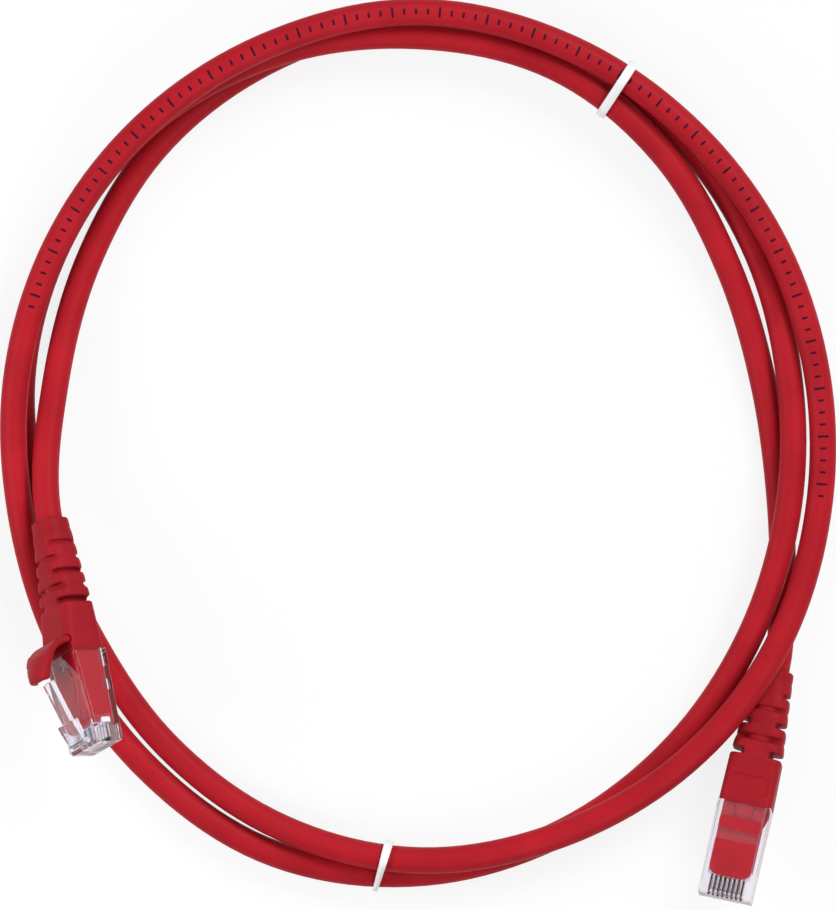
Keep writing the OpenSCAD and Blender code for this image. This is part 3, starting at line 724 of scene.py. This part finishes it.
conductors = {
    # in mm, along the plug from the boot's cable end
    "order": ("whiteorange", "orange", "whitegreen", "blue",
              "whiteblue", "green", "whitebrown", "brown"),
    "radius": 0.43,
    "gap": 0.06,          # between neighbours where they leave the pairs
    "pairLayer": 0.937,   # they leave in two layers, so far above and below the middle
    "pitch": 1.016, "rowHeight": -1.35,  # of their row in the wire guide
    "fan": (35.4, 42.9),  # where they begin to spread, and lie in the row
    "fanSteps": 14,
    "end": 49.8,
    "sides": 12,
}


def conductorEnds(letter):
    # from the end of the pairs, fanned out into one row at the contacts
    order, radius = conductors["order"], conductors["radius"]
    steps = np.linspace(plug["pairEnd"], conductors["fan"][1], conductors["fanSteps"])
    steps = np.append(steps, conductors["end"])[:, None]
    share = ramp(steps, *conductors["fan"])
    ease = share * share * (3 - 2 * share)
    for k, name in enumerate(order):
        fromY = (k // 2 * 2 - 3) * (radius + conductors["gap"] / 2)
        fromZ = (-1 if k % 2 == 0 else 1) * conductors["pairLayer"]
        toY, toZ = (k - (len(order) - 1) / 2) * conductors["pitch"], conductors["rowHeight"]
        line = np.hstack((steps, fromY + (toY - fromY) * ease, fromZ + (toZ - fromZ) * ease))
        piece = skinAlong(f"conductor_{letter}_{name}", line, *acrossLevel(line),
                          roundOutline(radius, conductors["sides"]))
        finishPlugPiece(piece, letter, name, "cable", f"plug_{letter}_conductors")


for letter in "ab":
    for partName, (node, body, material, slotName, edges, size, rounds) in plugParts.items():
        piece = copyOfNode(f"plug_{letter}_{node}", f"{partName}_{letter}", letter)
        if partName == "housing":
            addGateMark(piece)
        if edges == "bevel":
            bevelEdges(piece, size)
        else:
            softenEdges(piece, size, rounds)
        if partName == "mould":
            bondMould(piece, plug["bond"])
        if partName == "boot":
            crownRings(piece)
            sinkPanel(piece)
            easeSkin(piece, bootShape["easing"])
        if partName == "hood":
            shapeHood(piece)
            easeSkin(piece, hoodShape["easing"])
        finishPlugPiece(piece, letter, material, body, f"plug_{letter}_{node}")
    conductorEnds(letter)
    print("plug", letter, "made")


tie = {
    # in mm and degrees
    "gap": 0.5,             # between the band and the cable
    "thickness": 0.66,
    "width": 2.0,
    "ribbon": 0.3,          # thickness of the flat part beside the wire
    "bandStep": 4,
    "tailLength": 12,
    "tailTurns": 2,
    "tailAside": 0.9,       # how far the tail's middle lies outside the band
    "tailSteps": 40,
    # Turns are the strands that it holds. Above is the strand over the lowest, and the tail lies
    # beside these two. The outer width is the share of its own that the band has at the ring's
    # outside.
    "upper": {"angle": 119.3, "turns": (0, 1, 2), "slant": 4, "above": 2, "tailSide": -1,
              "outerWidth": 1},
    "lower": {"angle": 275, "turns": (0, 1), "slant": 11, "above": 1, "tailSide": 1,
              "outerWidth": 0.55},
}
strandRadius = 1000 * cable["diameter"] / 2  # mm


def ribbonOutline(width, thickness, ribbon):
    # a flat ribbon with the wire's bulge along its middle, drawn across and out
    top = [(-1, 0), (-0.94, 0.9), (-0.4, 1)]
    edge = [(x * width / 2, y * ribbon / 2) for x, y in top]
    bulge = [(thickness / 2 * math.cos(a), thickness / 2 * math.sin(a))
             for a in map(math.radians, (150, 120, 90, 60, 30))]
    upper = edge + bulge + [(-x, y) for x, y in reversed(edge)]
    return upper + [(x, -y) for x, y in reversed(upper[1:-1])]


def tieFrame(setup):
    # In mm: the ways out from the ring, on along the cable, and across the band's width. The band
    # goes round in a plane that starts on the floor below the low strand, with one way out and one
    # up, and the strands are given by their places in it.
    angle, slant = math.radians(setup["angle"]), math.radians(setup["slant"])
    outward = np.array((-math.cos(angle), math.sin(angle), 0))
    onward = np.array((math.sin(angle), math.cos(angle), 0))
    radius = routeAt(setup["angle"])[0]
    strands = []
    for turn in setup["turns"]:
        crossing = setup["angle"] + 360 * turn
        shift = (routeAt(crossing)[0] - radius) * math.tan(slant)
        strands.append(routeAt(crossing + math.degrees(shift / routeAt(crossing)[0])) - (radius, 0))
    return {"outward": outward, "onward": onward,
            "wide": math.cos(slant) * onward - math.sin(slant) * outward,
            "plane": np.array((math.cos(slant) * outward + math.sin(slant) * onward, (0, 0, 1))),
            "start": np.array((*cable["ringCentre"], 0)) * 1000 + outward * radius,
            "strands": np.array(strands)}


def tieBand(name, setup, at, outline):
    # taut round the strands, at an even gap
    turned = np.radians(np.arange(0, 360, tie["bandStep"]))
    rays = np.stack((np.cos(turned), np.sin(turned)), 1)
    furthest = at["strands"][np.argmax(rays @ at["strands"].T, axis=1)]
    loop = furthest + rays * (strandRadius + tie["gap"] + tie["thickness"] / 2)
    toOuter = (loop[:, 0] - loop[:, 0].min()) / np.ptp(loop[:, 0])
    widths = 1 + (setup["outerWidth"] - 1) * toOuter
    return skinAlong(name, at["start"] + loop @ at["plane"], np.tile(at["wide"], (len(loop), 1)),
                     rays @ at["plane"], outline, True, widths)


def tieTail(name, setup, at, outline):
    # the two ends, twisted on each other, along the cable and beside the strands
    low, above = at["strands"][0], at["strands"][setup["above"]]
    lean = np.array((low[1] - above[1], above[0] - low[0])) / np.linalg.norm(low - above)
    reach = strandRadius + tie["gap"] + tie["thickness"] + tie["tailAside"]
    start = at["start"] + ((low + above) / 2 + lean * reach) @ at["plane"]
    along = np.linspace(0, tie["tailLength"], tie["tailSteps"])[:, None] - tie["width"] / 2
    turned = np.linspace(0, 2 * math.pi * tie["tailTurns"], tie["tailSteps"])[:, None]
    ends = []
    for half in (0, math.pi):
        out = np.cos(turned + half) * at["plane"][1] + np.sin(turned + half) * at["outward"]
        line = start + setup["tailSide"] * along * at["onward"] + out * tie["thickness"] / 2
        aside = unit(np.cross(directions(line), out))
        ends.append(skinAlong(name + "Tail", line, aside, out, outline))
    return ends


def wireTie(name, setup):
    at = tieFrame(setup)
    outline = ribbonOutline(tie["width"], tie["thickness"], tie["ribbon"])
    band = tieBand(name, setup, at, outline)
    bpy.ops.object.select_all(action="DESELECT")
    for part in [band] + tieTail(name, setup, at, outline):
        part.select_set(True)
    bpy.context.view_layer.objects.active = band
    bpy.ops.object.join()
    band.data.transform(Matrix.Scale(0.001, 4))
    return band


for which in ("upper", "lower"):
    band = wireTie("tie_" + which + "Band", tie[which])
    giveMaterial(band, materials["tie"])
    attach(band, "cable")
    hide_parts("tie_" + which)
    wireNode = frame["nodes"][f"tie_{which}_core"]
    giveMaterial(wireNode, materials["wire"])
    smoothByAngle(wireNode)
print("ties made")


studio = {
    "floorSize": 6.0,
    "paper": "#f8f8f8",
    "bounce": "#cbcbcb",   # what the paper gives back to the object
    "shadowKept": 0.16,    # share of the floor's own shade that is seen
    "ambient": 0.25,
    "whiteBelow": 0.1, "dimAbove": 0.35,  # heights in the sky that gloss shows, 1 at the top
}

lamps = {
    # where each stands, its width and height, and its power in watts
    "keyBox": ((0.65, 0.85, 1.05), (0.8, 0.7), 13.8),
    "lowBox": ((0.35, -0.5, 0.75), (0.45, 0.45), 2.7),
    "leftFill": ((-0.42, -0.05, 0.3), (0.3, 0.24), 1.2),
}


def studioFloor():
    # White paper: it shows almost evenly bright, with a faint shade, and gives back a greyer light.
    material = startMaterial("studioPaper")
    rays = addNode(material, "ShaderNodeLightPath")
    seen = addNode(material, "ShaderNodeMath", {"operation": "MAXIMUM"},
                   _0=(rays, "Is Camera Ray"), _1=(rays, "Is Glossy Ray"))
    seenToo = addNode(material, "ShaderNodeMath", {"operation": "MAXIMUM"},
                      _0=(seen, 0), _1=(rays, "Is Transmission Ray"))
    share = addNode(material, "ShaderNodeMath", {"operation": "MULTIPLY"},
                    _0=(seenToo, 0), _1=1 - studio["shadowKept"])
    tone = addNode(material, "ShaderNodeMix", {"data_type": "RGBA"}, _0=(seenToo, 0),
                   _6=linearColour(studio["bounce"]), _7=linearColour(studio["paper"]))
    paper = addNode(material, "ShaderNodeBsdfDiffuse", Color=(tone, 2))
    bright = addNode(material, "ShaderNodeEmission", Color=(1, 1, 1, 1), Strength=1.0)
    mix = addNode(material, "ShaderNodeMixShader", _0=(share, 0), _1=(paper, 0), _2=(bright, 0))
    finishMaterial(material, mix)
    bpy.ops.object.select_all(action="DESELECT")
    bpy.ops.mesh.primitive_plane_add(size=studio["floorSize"], location=(0, 0, 0))
    floor = bpy.context.object
    floor.name = "studioFloor"
    giveMaterial(floor, material)


def softbox(name, place, size, power):
    # turned to the middle of the floor
    bpy.ops.object.light_add(type="AREA", location=place)
    light = bpy.context.object
    light.name = name
    light.data.shape = "RECTANGLE"
    light.data.size, light.data.size_y = size
    light.data.energy = power
    light.rotation_euler = (-Vector(place)).to_track_quat("-Z", "Y").to_euler()
    light.visible_camera = False


def studioWorld():
    world = bpy.data.worlds.new("studioWorld")
    bpy.context.scene.world = world
    world.use_nodes = True
    world.node_tree.nodes.clear()
    rays = addNode(world, "ShaderNodeLightPath")
    clear = addNode(world, "ShaderNodeMath", {"operation": "MAXIMUM"},
                    _0=(rays, "Is Camera Ray"), _1=(rays, "Is Transmission Ray"))
    # gloss shows the white backdrop low down and the dimmer ceiling overhead
    sky = addNode(world, "ShaderNodeTexCoord")
    rise = addNode(world, "ShaderNodeSeparateXYZ", Vector=(sky, "Generated"))
    low = addNode(world, "ShaderNodeMapRange", Value=(rise, "Z"),
                  From_Min=studio["dimAbove"], From_Max=studio["whiteBelow"])
    shown = addNode(world, "ShaderNodeMath", {"operation": "MULTIPLY"},
                    _0=(low, 0), _1=(rays, "Is Glossy Ray"))
    seen = addNode(world, "ShaderNodeMath", {"operation": "MAXIMUM"}, _0=(clear, 0), _1=(shown, 0))
    ambient = addNode(world, "ShaderNodeBackground", Color=(1, 1, 1, 1), Strength=studio["ambient"])
    white = addNode(world, "ShaderNodeBackground", Color=(1, 1, 1, 1), Strength=1.0)
    mix = addNode(world, "ShaderNodeMixShader", _0=(seen, 0), _1=(ambient, 0), _2=(white, 0))
    addNode(world, "ShaderNodeOutputWorld", Surface=(mix, 0))


studioFloor()
studioWorld()
for lampName, (place, size, power) in lamps.items():
    softbox(lampName, place, size, power)
bpy.context.scene.view_settings.view_transform = "Standard"
print("studio lit")
